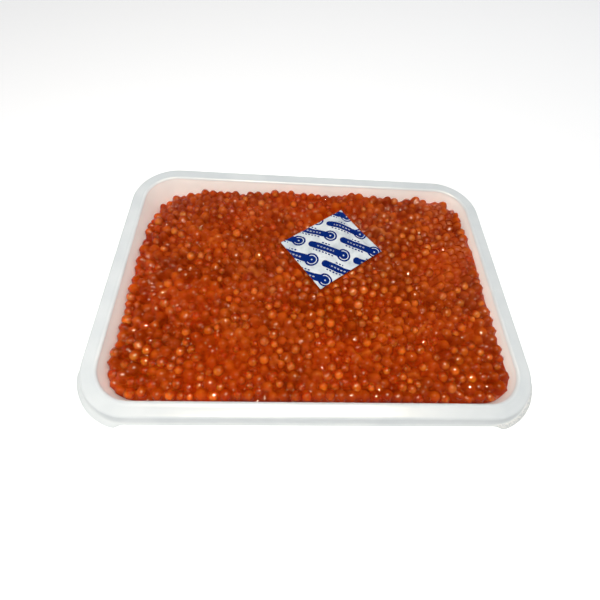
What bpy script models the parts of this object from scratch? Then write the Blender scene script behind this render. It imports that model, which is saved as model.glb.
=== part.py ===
"""Salmon roe in a white rimmed tray, with an absorber sachet lying on it.

Metres, +Z up. The origin is at the middle of the tray's underside. X runs
along the tray's long side, and its near long side is at -Y.
"""
import math
import random

import bmesh
import bpy
from mathutils import Euler, Matrix, Vector

# Tray, with its length and depth over the outer fold of the rim
RIM_LENGTH = 0.230
RIM_DEPTH = 0.162
RIM_HEIGHT = 0.044
CORNER_RADIUS = 0.027
CORNER_STEPS = 10
RIM_WIDTH = 0.008
RIM_CROWN = 0.0002
INNER_ROUND = 0.0013
FOLD_ROUND = 0.0014
ROUND_MIDDLE = 1 - math.sqrt(0.5)
WALL = 0.0009
WALL_DRAFT = math.radians(8.0)
FLOOR_FILLET = 0.006
FILLET_STEPS = 3
TRAY_CREASE = math.radians(50.0)

# Skirt that hangs from the fold, its lip, and the ears that the lip grows at the corners
SKIRT_DROP = 0.0052
SKIRT_FLARE = 0.0014
LIP_WIDTH = 0.0008
EAR_BY_LONG_SIDE = 0.0024
EAR_BY_SHORT_SIDE = 0.0008
EAR_RAMP = math.radians(18.0)
EAR_SHARE_AT_SKIRT = 0.12

# Roe
FIT_GAP = 0.0003
HEAP_DEPTH = 0.0098
HEAP_MOUND = 0.0011
HEADROOM = 0.0048
BUMP_SPACING = 0.0059
BUMP_DEPTH = 0.0007
BUMP_RISE = 0.0012
BUMP_JITTER = 0.0008
BUMP_UNEVEN = (0.5, 1.3)
HEAP_WAVES = ((0.0004, 61.0, 83.0, 0.4), (0.0003, 118.0, -71.0, 1.9), (0.0003, -47.0, 139.0, 4.1))
HEAP_PEAKS = ((-0.010, 0.064, 0.0014, 0.011), (0.031, 0.065, 0.0013, 0.007), (0.072, 0.062, 0.0008, 0.009))
EGG_RADIUS = (0.0024, 0.0031)
EGG_SPACING = 0.0118
EGG_JITTER = 0.0022
EGG_RISE = 0.35
EGG_SQUASH = (0.9, 1.04)
EGG_SWELL = 1.08
EGG_SEED = 11
KEPT_SHARE = 0.66

# Absorber sachet
SACHET_LENGTH = 0.050
SACHET_WIDTH = 0.041
SACHET_CENTRE = (0.0133, 0.0246)
SACHET_TURN = math.radians(36.2)
SACHET_SEAM = 0.0005
SACHET_SEAM_WIDTH = 0.0035
SACHET_FILL = 0.0026
SACHET_FULLNESS = 0.7
SACHET_CELLS = (10, 8)
SACHET_BED = RIM_HEIGHT - 0.0076
SACHET_BED_MARGIN = 0.0005
SACHET_BED_SLOPE = 0.004
SACHET_CLEAR = 0.0075
SACHET_CREASE = math.radians(40.0)

INSIDE_X = RIM_LENGTH / 2 - CORNER_RADIUS
INSIDE_Y = RIM_DEPTH / 2 - CORNER_RADIUS


def new_collection(name):
    """Add a collection to the scene."""
    collection = bpy.data.collections.new(name)
    bpy.context.scene.collection.children.link(collection)
    return collection


def new_material(name, colour, roughness, coat=0.0):
    """Make a plain Principled material."""
    material = bpy.data.materials.new(name)
    material.use_nodes = True
    shader = material.node_tree.nodes["Principled BSDF"]
    shader.inputs["Base Color"].default_value = (*colour, 1.0)
    shader.inputs["Roughness"].default_value = roughness
    shader.inputs["Metallic"].default_value = 0.0
    shader.inputs["Coat Weight"].default_value = coat
    material.diffuse_color = (*colour, 1.0)
    return material


def new_object(name, bm, collection, material=None):
    """Turn a bmesh into an object, and free the bmesh."""
    mesh = bpy.data.meshes.new(name)
    bm.to_mesh(mesh)
    bm.free()
    piece = bpy.data.objects.new(name, mesh)
    collection.objects.link(piece)
    if material:
        mesh.materials.append(material)
    return piece


def rim_path():
    """Unit directions round the tray's corners, each with the arc centre that it starts from."""
    path = []
    for quarter, (sign_x, sign_y) in enumerate(((1, 1), (-1, 1), (-1, -1), (1, -1))):
        centre = Vector((sign_x * INSIDE_X, sign_y * INSIDE_Y))
        for step in range(CORNER_STEPS + 1):
            angle = math.radians(90 * (quarter + step / CORNER_STEPS))
            path.append((centre, Vector((math.cos(angle), math.sin(angle)))))
    return path


def ear_reach(direction):
    """How far a corner ear stands out past the lip, for a direction round the corner."""
    turn = math.atan2(abs(direction.x), abs(direction.y))
    reach = EAR_BY_LONG_SIDE + (EAR_BY_SHORT_SIDE - EAR_BY_LONG_SIDE) * turn / (math.pi / 2)
    ramp = min(1.0, turn / EAR_RAMP, (math.pi / 2 - turn) / EAR_RAMP)
    return reach * ramp


def ring(inset, height, ear_share=0.0):
    """One rounded rectangle, moved in from the rim's fold by inset."""
    points = []
    for centre, direction in rim_path():
        out = CORNER_RADIUS - inset + ear_share * ear_reach(direction)
        spot = centre + direction * out
        points.append(Vector((spot.x, spot.y, height)))
    return points


def loft(rings, close_start=True, close_end=False):
    """Skin a row of rings, whose points match, with faces that look to the left of the way on."""
    bm = bmesh.new()
    rows = [[bm.verts.new(point) for point in points] for points in rings]
    for low, high in zip(rows, rows[1:]):
        count = len(low)
        for i in range(count):
            j = (i + 1) % count
            bm.faces.new((low[i], low[j], high[j], high[i]))
    if close_start:
        bm.faces.new(rows[0][::-1])
    if close_end:
        bm.faces.new(rows[-1])
    return bm


def cavity_profile(gap=0.0):
    """Inset and height of the tray's inside, from its floor to the wall's top, moved in by gap."""
    wall_top = RIM_HEIGHT - INNER_ROUND
    sin_draft, cos_draft = math.sin(WALL_DRAFT), math.cos(WALL_DRAFT)
    centre_height = WALL + FLOOR_FILLET
    centre_inset = RIM_WIDTH + (FLOOR_FILLET + (wall_top - centre_height) * sin_draft) / cos_draft
    points = []
    for step in range(FILLET_STEPS + 1):
        angle = math.pi / 2 + (WALL_DRAFT - math.pi / 2) * step / FILLET_STEPS
        reach = FLOOR_FILLET - gap
        points.append((centre_inset - reach * math.cos(angle), centre_height - reach * math.sin(angle)))
    points.append((RIM_WIDTH + gap / cos_draft, wall_top))
    return points


def make_tray(collection, material):
    """The tray's upper skin, from the floor over the rim and down the skirt, thickened below."""
    profile = [(inset, height, 0.0) for inset, height in cavity_profile()]
    for inset, drop in ((RIM_WIDTH - ROUND_MIDDLE * INNER_ROUND, ROUND_MIDDLE * INNER_ROUND),
                        (RIM_WIDTH - INNER_ROUND, RIM_CROWN),
                        (RIM_WIDTH / 2, 0.0),
                        (FOLD_ROUND, RIM_CROWN),
                        (ROUND_MIDDLE * FOLD_ROUND, ROUND_MIDDLE * FOLD_ROUND),
                        (0.0, FOLD_ROUND)):
        profile.append((inset, RIM_HEIGHT - drop, 0.0))
    profile.append((-SKIRT_FLARE, RIM_HEIGHT - SKIRT_DROP, EAR_SHARE_AT_SKIRT))
    profile.append((-SKIRT_FLARE - LIP_WIDTH, RIM_HEIGHT - SKIRT_DROP - RIM_CROWN, 1.0))
    bm = loft([ring(inset, height, share) for inset, height, share in profile])
    bmesh.ops.recalc_face_normals(bm, faces=bm.faces)
    floor = min(bm.faces, key=lambda face: face.calc_center_median().z)
    if floor.normal.z < 0:
        bmesh.ops.reverse_faces(bm, faces=bm.faces)
    tray = new_object("tray", bm, collection, material)
    shell = tray.modifiers.new("wall", "SOLIDIFY")
    shell.thickness = WALL
    shell.offset = -1.0
    shell.use_even_offset = True
    tray.data.shade_smooth()
    tray.data.set_sharp_from_angle(angle=TRAY_CREASE)
    return tray


def sachet_place(x, y):
    """Turn a point of the tray's plane into the sachet's own length and width."""
    offset = Vector((x, y)) - Vector(SACHET_CENTRE)
    along = Vector((math.cos(SACHET_TURN), math.sin(SACHET_TURN)))
    return offset.dot(along), along.cross(offset)


def outside_sachet(x, y):
    """Distance of a point from the sachet's outline, or 0 inside it."""
    along, across = sachet_place(x, y)
    return math.hypot(max(abs(along) - SACHET_LENGTH / 2, 0.0), max(abs(across) - SACHET_WIDTH / 2, 0.0))


def inside_wall(x, y, height):
    """Distance of a point from the tray's wall at a height, above 0 inside the tray."""
    inset = RIM_WIDTH + (RIM_HEIGHT - height) * math.tan(WALL_DRAFT)
    over_x, over_y = abs(x) - INSIDE_X, abs(y) - INSIDE_Y
    reach = math.hypot(max(over_x, 0.0), max(over_y, 0.0)) + min(max(over_x, over_y), 0.0)
    return CORNER_RADIUS - inset - reach


def off_bed(x, y):
    """Share from 0 on the level bed under the sachet to 1 out on the open heap."""
    return min(max((outside_sachet(x, y) - SACHET_BED_MARGIN) / SACHET_BED_SLOPE, 0.0), 1.0)


def heap_height(x, y):
    """Height of the bare heap: a low mound with waves and peaks, level where the sachet lies."""
    along, across = 2 * x / RIM_LENGTH, 2 * y / RIM_DEPTH
    height = RIM_HEIGHT - HEAP_DEPTH + HEAP_MOUND * (1 - along ** 2) * (1 - across ** 2)
    for rise, by_x, by_y, start in HEAP_WAVES:
        height += rise * math.sin(by_x * x + by_y * y + start)
    for peak_x, peak_y, rise, spread in HEAP_PEAKS:
        height += rise * math.exp(-((x - peak_x) ** 2 + (y - peak_y) ** 2) / (2 * spread ** 2))
    return SACHET_BED + (height - SACHET_BED) * off_bed(x, y)


def make_heap_block(collection, rng):
    """A slab over the whole tray, whose top is the heap's, with a bump for each egg."""
    columns, rows = round(RIM_LENGTH / BUMP_SPACING), round(RIM_DEPTH / BUMP_SPACING)
    bm = bmesh.new()
    span = Matrix.Diagonal((RIM_LENGTH, RIM_DEPTH, 1.0, 1.0))
    bmesh.ops.create_grid(bm, x_segments=columns, y_segments=rows, size=0.5, matrix=span)
    top = list(bm.faces)
    grown = bmesh.ops.extrude_face_region(bm, geom=top, use_keep_orig=True)["geom"]
    lower = [vert for vert in grown if isinstance(vert, bmesh.types.BMVert)]
    bmesh.ops.translate(bm, vec=(0.0, 0.0, -RIM_HEIGHT), verts=lower)
    crests = bmesh.ops.poke(bm, faces=top)["verts"]
    valleys = [vert for vert in bm.verts if vert.co.z == 0.0 and vert not in set(crests)]
    for verts, rise in ((valleys, -BUMP_DEPTH), (crests, BUMP_RISE)):
        for vert in verts:
            vert.co.x += rng.uniform(-BUMP_JITTER, BUMP_JITTER)
            vert.co.y += rng.uniform(-BUMP_JITTER, BUMP_JITTER)
            x, y = vert.co.x, vert.co.y
            uneven = rise * rng.uniform(*BUMP_UNEVEN)
            vert.co.z = heap_height(x, y) + uneven * off_bed(x, y)
            if outside_sachet(x, y) < SACHET_CLEAR:
                vert.co.z = min(vert.co.z, SACHET_BED)
    bmesh.ops.recalc_face_normals(bm, faces=bm.faces)
    return new_object("heap_block", bm, collection)


def make_eggs(collection, rng):
    """Eggs of true size with 20 faces each, evenly spread and half sunk in the heap."""
    row_step = EGG_SPACING * math.sqrt(3) / 2
    rows, columns = int(RIM_DEPTH / row_step) + 2, int(RIM_LENGTH / EGG_SPACING) + 2
    for row in range(rows):
        for column in range(columns):
            x = (column - columns / 2 + (row % 2) / 2) * EGG_SPACING + rng.uniform(-EGG_JITTER, EGG_JITTER)
            y = (row - rows / 2 + 0.5) * row_step + rng.uniform(-EGG_JITTER, EGG_JITTER)
            radius = rng.uniform(*EGG_RADIUS)
            turn = Euler([rng.uniform(0, math.tau) for axis in range(3)])
            squash = Vector([rng.uniform(*EGG_SQUASH) for axis in range(3)])
            room = EGG_SWELL * radius + FIT_GAP
            highest = RIM_HEIGHT - HEADROOM - EGG_SWELL * radius
            height = min(heap_height(x, y) + EGG_RISE * radius, highest)
            if outside_sachet(x, y) < room or inside_wall(x, y, height - radius) < room:
                continue
            bm = bmesh.new()
            bmesh.ops.create_icosphere(bm, subdivisions=1, radius=EGG_SWELL * radius)
            place = Matrix.LocRotScale(Vector((x, y, height)), turn, squash)
            bmesh.ops.transform(bm, matrix=place, verts=bm.verts)
            new_object("egg", bm, collection)


def apply_modifiers(target):
    """Give the target its evaluated mesh, in place of its modifiers."""
    evaluated = target.evaluated_get(bpy.context.evaluated_depsgraph_get())
    result = bpy.data.meshes.new_from_object(evaluated)
    target.modifiers.clear()
    target.data = result


def apply_boolean(target, operation, cutters=None, cutter=None, solver="EXACT"):
    """Give the target the result of a Boolean with one object or a collection of them."""
    boolean = target.modifiers.new("boolean", "BOOLEAN")
    boolean.operation = operation
    boolean.solver = solver
    if cutters:
        boolean.operand_type = "COLLECTION"
        boolean.collection = cutters
    else:
        boolean.object = cutter
    apply_modifiers(target)


def keep_main_body(piece):
    """Drop the loose scraps that fusing leaves, and keep the largest body."""
    bm = bmesh.new()
    bm.from_mesh(piece.data)
    bodies, seen = [], set()
    for start in bm.verts:
        if start in seen:
            continue
        body, front = {start}, [start]
        while front:
            for edge in front.pop().link_edges:
                for vert in edge.verts:
                    if vert not in body:
                        body.add(vert)
                        front.append(vert)
        seen |= body
        bodies.append(body)
    main = max(bodies, key=len)
    bmesh.ops.delete(bm, geom=[vert for vert in bm.verts if vert not in main], context="VERTS")
    bm.to_mesh(piece.data)
    bm.free()


def make_roe(collection, scraps, material):
    """The heap that fills the tray, cut to its inside, with the eggs on top fused on."""
    rng = random.Random(EGG_SEED)
    profile = cavity_profile(FIT_GAP)
    bm = loft([ring(inset, height) for inset, height in profile], close_end=True)
    bmesh.ops.recalc_face_normals(bm, faces=bm.faces)
    roe = new_object("roe", bm, collection)
    block = make_heap_block(scraps, rng)
    apply_boolean(roe, "INTERSECT", cutter=block)
    bpy.data.objects.remove(block)
    make_eggs(scraps, rng)
    apply_boolean(roe, "UNION", cutters=scraps, solver="MANIFOLD")
    for egg in list(scraps.objects):
        bpy.data.objects.remove(egg)
    thinner = roe.modifiers.new("fewer_faces", "DECIMATE")
    thinner.ratio = KEPT_SHARE
    apply_modifiers(roe)
    keep_main_body(roe)
    roe.data.materials.clear()
    roe.data.materials.append(material)
    return roe


def make_sachet(collection, material):
    """A filled paper sachet: flat seams round a low pillow, with a level underside."""
    bm = bmesh.new()
    span = Matrix.Diagonal((SACHET_LENGTH, SACHET_WIDTH, 1.0, 1.0))
    columns, rows = SACHET_CELLS
    bmesh.ops.create_grid(bm, x_segments=columns, y_segments=rows, size=0.5, matrix=span)
    top = list(bm.verts)
    grown = bmesh.ops.extrude_face_region(bm, geom=list(bm.faces))["geom"]
    for vert in grown:
        if isinstance(vert, bmesh.types.BMVert):
            vert.co.z = 0.0
    for vert in top:
        inward = min(SACHET_LENGTH / 2 - abs(vert.co.x), SACHET_WIDTH / 2 - abs(vert.co.y))
        reach = max(inward - SACHET_SEAM_WIDTH, 0.0) / (SACHET_WIDTH / 2 - SACHET_SEAM_WIDTH)
        vert.co.z = SACHET_SEAM + SACHET_FILL * math.sin(reach * math.pi / 2) ** SACHET_FULLNESS
    bmesh.ops.recalc_face_normals(bm, faces=bm.faces)
    sachet = new_object("sachet", bm, collection, material)
    sachet.location = (*SACHET_CENTRE, SACHET_BED + FIT_GAP)
    sachet.rotation_euler.z = SACHET_TURN
    sachet.data.shade_smooth()
    sachet.data.set_sharp_from_angle(angle=SACHET_CREASE)
    return sachet


def main():
    """Build the three pieces in an empty scene."""
    for piece in list(bpy.data.objects):
        bpy.data.objects.remove(piece)
    parts = new_collection("salmon_roe_tray")
    scraps = new_collection("cutters")
    white_plastic = new_material("white_plastic", (0.82, 0.85, 0.86), 0.32)
    wet_roe = new_material("wet_roe", (0.55, 0.10, 0.02), 0.18, coat=0.6)
    paper = new_material("sachet_paper", (0.80, 0.81, 0.82), 0.65)
    make_tray(parts, white_plastic)
    make_roe(parts, scraps, wet_roe)
    make_sachet(parts, paper)
    bpy.data.collections.remove(scraps)


main()
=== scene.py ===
"""Salmon roe in a white rimmed tray, with a paper sachet lying on it, in a soft studio.

Metres, +Z up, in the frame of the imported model: the origin is in the middle of the
tray's underside, and the side nearest the camera is at -Y.
"""
from __future__ import annotations

import logging
import math
from dataclasses import dataclass
from enum import Enum
from typing import Any, Mapping, Sequence

import bmesh
import bpy
import numpy as np
from mathutils import Matrix, Vector


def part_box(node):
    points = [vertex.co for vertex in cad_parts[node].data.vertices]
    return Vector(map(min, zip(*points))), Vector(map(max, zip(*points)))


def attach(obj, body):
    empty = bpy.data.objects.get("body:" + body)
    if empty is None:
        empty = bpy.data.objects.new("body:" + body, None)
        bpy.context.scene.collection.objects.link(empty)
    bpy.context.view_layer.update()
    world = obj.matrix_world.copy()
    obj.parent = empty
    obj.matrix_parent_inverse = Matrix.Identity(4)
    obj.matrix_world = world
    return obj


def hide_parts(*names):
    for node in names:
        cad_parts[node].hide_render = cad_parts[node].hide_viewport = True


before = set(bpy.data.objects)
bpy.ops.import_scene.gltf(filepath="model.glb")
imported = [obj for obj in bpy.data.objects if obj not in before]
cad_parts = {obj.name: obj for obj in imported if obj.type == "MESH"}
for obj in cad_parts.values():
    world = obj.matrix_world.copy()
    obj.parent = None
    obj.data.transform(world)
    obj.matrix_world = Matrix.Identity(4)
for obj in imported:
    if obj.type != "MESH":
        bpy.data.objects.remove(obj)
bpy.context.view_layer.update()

LOG = logging.getLogger("roe_tray")
ROOT = "root"
PICTURE_SIDE = 600
SENSOR_WIDTH = 36.0
HONEYCOMB = math.sqrt(3) / 2


def tint(code: str) -> tuple[float, float, float, float]:
    """Turn a colour as seen on a screen into the linear one that a shader takes.

    Args:
        code: six hexadecimal digits.

    Returns:
        Linear red, green and blue, and an alpha of one.
    """
    shown = [int(code[i:i + 2], 16) / 255 for i in (0, 2, 4)]
    linear = [c / 12.92 if c <= 0.04045 else ((c + 0.055) / 1.055) ** 2.4 for c in shown]
    return (linear[0], linear[1], linear[2], 1.0)


class Wire:
    """One value on its way through a shader, with arithmetic that adds Math nodes."""

    def __init__(self, bench: "ShaderBench", socket: bpy.types.NodeSocket) -> None:
        """Hold the socket that the value comes out of."""
        self.bench = bench
        self.socket = socket

    def _math(self, operation: str, *values: Any) -> "Wire":
        """Add one Math node on the given values."""
        node = self.bench.node("ShaderNodeMath", {"operation": operation}, dict(enumerate(values)))
        return Wire(self.bench, node.outputs[0])

    def __add__(self, other: Any) -> "Wire":
        """Sum."""
        return self._math("ADD", self, other)

    __radd__ = __add__

    def __sub__(self, other: Any) -> "Wire":
        """Difference."""
        return self._math("SUBTRACT", self, other)

    def __rsub__(self, other: Any) -> "Wire":
        """Difference, the other way round."""
        return self._math("SUBTRACT", other, self)

    def __mul__(self, other: Any) -> "Wire":
        """Product."""
        return self._math("MULTIPLY", self, other)

    def __truediv__(self, other: Any) -> "Wire":
        """Quotient."""
        return self._math("DIVIDE", self, other)

    def __abs__(self) -> "Wire":
        """Size without sign."""
        return self._math("ABSOLUTE", self)

    def __lt__(self, other: Any) -> "Wire":
        """One where this is below the other, and else zero."""
        return self._math("LESS_THAN", self, other)

    def __gt__(self, other: Any) -> "Wire":
        """One where this is above the other, and else zero."""
        return self._math("GREATER_THAN", self, other)

    def floor(self) -> "Wire":
        """Whole number below."""
        return self._math("FLOOR", self)

    def modulo(self, period: float) -> "Wire":
        """Remainder over a period, never below zero."""
        return self._math("FLOORED_MODULO", self, period)

    def most(self, other: Any) -> "Wire":
        """Larger of two."""
        return self._math("MAXIMUM", self, other)

    def root(self) -> "Wire":
        """Square root."""
        return self._math("SQRT", self)

    def between(self, low: float, high: float) -> "Wire":
        """Smooth share from zero at low to one at high."""
        node = self.bench.node(
            "ShaderNodeMapRange",
            {"interpolation_type": "SMOOTHSTEP"},
            {"Value": self, "From Min": low, "From Max": high},
        )
        return Wire(self.bench, node.outputs["Result"])


class ShaderBench:
    """The bench on which one material's nodes are put together."""

    def __init__(self, name: str) -> None:
        """Start a material with a Principled shader.

        Args:
            name: the material's name.
        """
        self.material = bpy.data.materials.new(name)
        self.material.use_nodes = True
        self.tree = self.material.node_tree
        self.shader = self.tree.nodes["Principled BSDF"]

    def node(self, kind: str, settings: Mapping[str, Any], values: Mapping[Any, Any]) -> bpy.types.Node:
        """Add one node, set it up, and give its sockets their values or links.

        Args:
            kind: the node's type.
            settings: its settings by name.
            values: what its sockets take, by name or number.

        Returns:
            The new node.
        """
        node = self.tree.nodes.new(kind)
        for name, value in settings.items():
            setattr(node, name, value)
        for name, value in values.items():
            self.feed(node.inputs[name], value)
        return node

    def feed(self, socket: bpy.types.NodeSocket, value: Any) -> None:
        """Link a wire or a socket into a socket, or set its value.

        Args:
            socket: the socket that takes it.
            value: a wire, a socket or a plain value.
        """
        if isinstance(value, Wire):
            self.tree.links.new(value.socket, socket)
        elif isinstance(value, bpy.types.NodeSocket):
            self.tree.links.new(value, socket)
        else:
            socket.default_value = value

    def place(self) -> bpy.types.NodeSocket:
        """Object coordinates."""
        return self.node("ShaderNodeTexCoord", {}, {}).outputs["Object"]

    def vector(self, name: str) -> bpy.types.NodeSocket:
        """A vector that the mesh stores for each point."""
        return self.node("ShaderNodeAttribute", {"attribute_name": name}, {}).outputs["Vector"]

    def share(self, name: str) -> Wire:
        """A number that the mesh stores for each point."""
        node = self.node("ShaderNodeAttribute", {"attribute_name": name}, {})
        return Wire(self, node.outputs["Fac"])

    def split(self, vector: bpy.types.NodeSocket) -> tuple[Wire, Wire, Wire]:
        """The three parts of a vector."""
        node = self.node("ShaderNodeSeparateXYZ", {}, {0: vector})
        return (Wire(self, node.outputs[0]), Wire(self, node.outputs[1]), Wire(self, node.outputs[2]))

    def noise(self, vector: bpy.types.NodeSocket, scale: float, detail: float = 2.0) -> Wire:
        """Smooth noise between zero and one."""
        values = {"Vector": vector, "Scale": scale, "Detail": detail}
        return Wire(self, self.node("ShaderNodeTexNoise", {}, values).outputs[0])

    def mix(self, share: Any, first: Any, second: Any) -> bpy.types.NodeSocket:
        """Blend two colours.

        Args:
            share: zero for the first colour, one for the second.
            first: a colour, or the socket of one.
            second: a colour, or the socket of one.

        Returns:
            The blend's socket.
        """
        settings = {"data_type": "RGBA", "clamp_factor": True}
        return self.node("ShaderNodeMix", settings, {0: share, 6: first, 7: second}).outputs[2]

    def dot(self, vector: bpy.types.NodeSocket, direction: Sequence[float]) -> Wire:
        """Share of a vector, made one long, that points in a direction.

        Args:
            vector: the vector's socket.
            direction: its three parts.

        Returns:
            The share.
        """
        unit = self.node("ShaderNodeVectorMath", {"operation": "NORMALIZE"}, {0: vector}).outputs[0]
        node = self.node("ShaderNodeVectorMath", {"operation": "DOT_PRODUCT"}, {0: unit, 1: direction})
        return Wire(self, node.outputs["Value"])

    def relief(self, height: Wire, distance: float, strength: float = 1.0) -> None:
        """Raise the surface by a height, in the light alone.

        Args:
            height: the relief.
            distance: how far its full height reaches, in metres.
            strength: its share.
        """
        node = self.node(
            "ShaderNodeBump", {}, {"Height": height, "Distance": distance, "Strength": strength}
        )
        self.feed(self.shader.inputs["Normal"], node.outputs[0])

    def set(self, **values: Any) -> None:
        """Set the Principled shader's sockets, whose spaces are written as underscores."""
        for name, value in values.items():
            self.feed(self.shader.inputs[name.replace("_", " ")], value)


def add_mesh(name: str, points: np.ndarray, faces: list[list[int]], material: bpy.types.Material) -> bpy.types.Object:
    """Make one piece, which rides on the root and takes its finish from a slot.

    Args:
        name: the piece's name.
        points: an array of points, one a row.
        faces: the points of each face by number.
        material: its material.

    Returns:
        The piece's object.
    """
    mesh = bpy.data.meshes.new(name)
    mesh.from_pydata(points.tolist(), [], faces)
    mesh.materials.append(material)
    mesh.validate()
    mesh.shade_smooth()
    piece = bpy.data.objects.new(name, mesh)
    bpy.context.scene.collection.objects.link(piece)
    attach(piece, ROOT)
    LOG.info("%s: %d faces", name, len(mesh.polygons))
    return piece


def grid_faces(rows: int, columns: int, wrap: bool = False, first: int = 0) -> list[list[int]]:
    """Number the four corners of every cell of a grid of points.

    The cell at (r, c) joins the points (r, c), (r, c + 1), (r + 1, c + 1) and (r + 1, c).

    Args:
        rows: rows of points.
        columns: points in a row.
        wrap: whether each row closes on itself.
        first: the first point's number.

    Returns:
        The faces.
    """
    row, column = np.meshgrid(np.arange(rows - 1), np.arange(columns if wrap else columns - 1), indexing="ij")
    after = (column + 1) % columns
    corners = (row * columns + column, row * columns + after, (row + 1) * columns + after,
               (row + 1) * columns + column)
    return (np.stack(corners, axis=-1).reshape(-1, 4) + first).tolist()


def write_attribute(piece: bpy.types.Object, name: str, values: np.ndarray) -> None:
    """Store one number or one vector for each point of a piece's mesh.

    Args:
        piece: the piece.
        name: what the shader calls it.
        values: one number or one vector for each point.
    """
    kind, key = ("FLOAT", "value") if values.ndim == 1 else ("FLOAT_VECTOR", "vector")
    layer = piece.data.attributes.new(name, kind, "POINT")
    layer.data.foreach_set(key, values.astype(np.float32).ravel())


def smooth_share(values: np.ndarray, low: float, high: float) -> np.ndarray:
    """Share that rises from zero at low to one at high: three t squared less two t cubed."""
    share = np.clip((values - low) / (high - low), 0.0, 1.0)
    return share * share * (3 - 2 * share)


@dataclass(frozen=True)
class PlasticFinish:
    """White moulded plastic: cool, softly glossy, and a little stained by brine inside, where painted light also
    makes the wall lighter than the rim and a painted glow lights it; painted shade greys the outer fold and the
    knurl's pits.
    """

    body: str = "dde1e1"
    shade: str = "d5dadb"
    # Painted shade: the grey under the outer fold and in the knurl's pits.
    painted_shade: str = "9aa2a8"
    # Brine staining, lighter than the body, so also painted light on the inner wall.
    stain_and_painted_light: str = "fcf4ea"
    # Colour of the painted glow on the wet inner wall, which is no lamp.
    through: str = "e6e0d8"
    roughness: float = 0.3
    mirror: float = 0.2
    stain_and_glow_from: float = -0.0002
    stain_and_glow_to: float = 0.0024
    stain_and_light_even: float = 0.7
    # Strength of that painted glow.
    painted_glow_strength: float = 0.22
    fold_shade_share: float = 0.3
    knurl_shading_share: float = 0.35
    grip_height: float = 4.0
    relief_depth: float = 0.00012
    relief_share: float = 0.35

    def material(self, tray: "Tray") -> bpy.types.Material:
        """Make the material.

        Args:
            tray: gives the heights between which the brine staining, the painted light and the painted glow come in.

        Returns:
            The material.
        """
        bench = ShaderBench("white_plastic")
        place = bench.place()
        depth = tray.height - bench.split(place)[2]
        inside = bench.share("inside")
        cloud = bench.noise(place, 45.0, 3.0)
        # Painted shade: the fold share greys the outer fold and the top of the skirt.
        fold = bench.share("fold")
        white = bench.mix(cloud.between(0.35, 0.7), tint(self.body), tint(self.shade))
        plain = bench.mix(fold * self.fold_shade_share, white, tint(self.painted_shade))
        # The wet inner wall: glossier, brine-stained, painted lighter, and given a painted glow.
        wet = depth.between(self.stain_and_glow_from, self.stain_and_glow_to) * inside
        spots = bench.noise(place, 130.0, 4.0).between(0.3, 0.75)
        knurl = bench.share("knurl")
        rough = bench.noise(place, 1900.0, 1.0).between(0.35, 0.6)
        stain_and_painted_light = wet * (self.stain_and_light_even + spots * (1 - self.stain_and_light_even))
        stained = bench.mix(stain_and_painted_light, plain, tint(self.stain_and_painted_light))
        # Painted shade and light on the knurl: grey in its pits, light on its peaks, after its relief.
        grip = bench.mix(rough, tint(self.painted_shade), tint(self.stain_and_painted_light))
        bench.set(
            Base_Color=bench.mix(knurl * self.knurl_shading_share, stained, grip),
            Roughness=self.roughness + cloud * 0.08 - wet * 0.12,
            # Painted glow: the wet inner wall glows though it is no lamp.
            Emission_Color=bench.mix(wet, (0.0, 0.0, 0.0, 1.0), tint(self.through)),
            Emission_Strength=self.painted_glow_strength,
            Specular_IOR_Level=self.mirror,
        )
        grain = bench.noise(place, 900.0, 2.0) * 0.4 + bench.noise(place, 160.0, 2.0)
        bench.relief(grain + knurl * rough * self.grip_height, self.relief_depth, self.relief_share)
        return bench.material


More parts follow.
